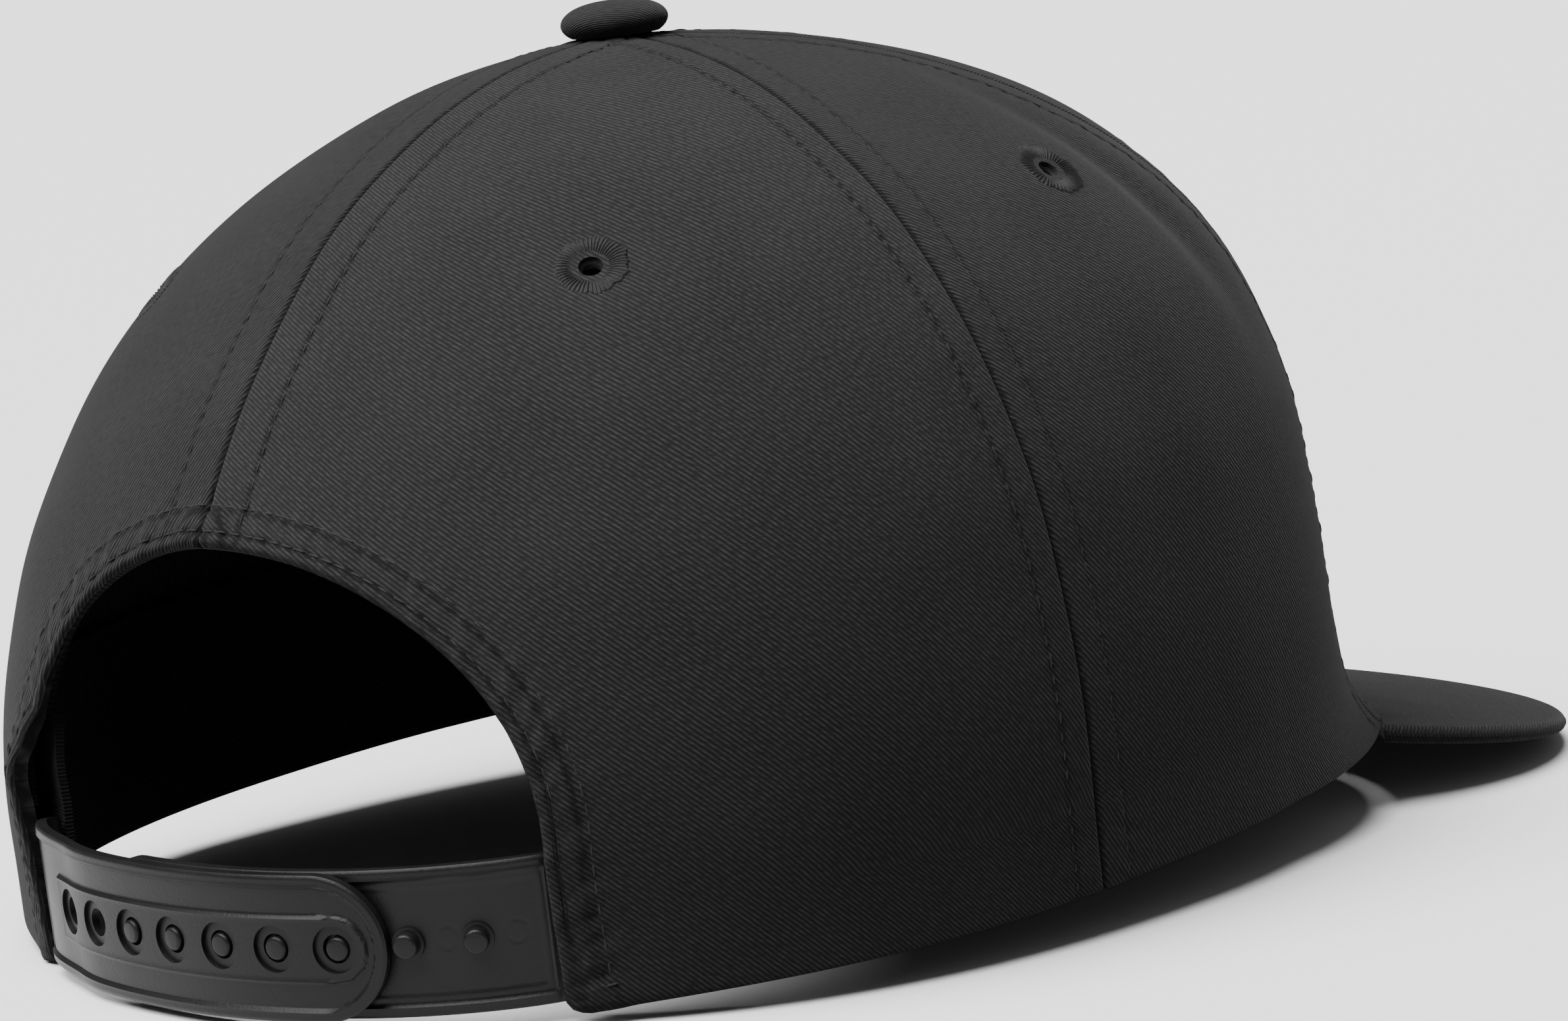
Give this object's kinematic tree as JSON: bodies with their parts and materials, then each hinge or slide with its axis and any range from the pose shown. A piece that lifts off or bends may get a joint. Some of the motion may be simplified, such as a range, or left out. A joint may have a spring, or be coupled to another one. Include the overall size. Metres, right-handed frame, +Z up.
{
  "type": "snapback cap",
  "caption": "Five-panel black cotton cap with a sloping peak, top button, stitched eyelets, arched back opening and a snap-fastened plastic strap.",
  "frame": {"origin": "bottom centre of the bounding box, on the surface that the cap rests on", "axes": "+Z up, the peak points to -Y, the strap is at +Y, and the wearer's right is -X"},
  "size_m": [0.1764, 0.2554, 0.1249],
  "materials": {
    "twill": "black cotton twill, matt, with a fine diagonal rib",
    "ribbed_band": "black ribbed woven band, matt",
    "thread": "black sewing thread with a slight sheen",
    "strap_plastic": "black moulded plastic, satin"
  },
  "bodies": {
    "root": {"front_panel": "twill", "side_panel_right": "twill", "side_panel_left": "twill", "back_panel_right": "twill", "back_panel_left": "twill", "peak": "twill", "top_button": "twill", "arch_hem": "twill", "sweatband": "ribbed_band", "eyelet_back_right": "thread", "eyelet_back_left": "thread", "eyelet_side_right": "thread", "eyelet_side_left": "thread", "strap_holes": "strap_plastic", "strap_pegs": "strap_plastic"}
  },
  "joints": []
}
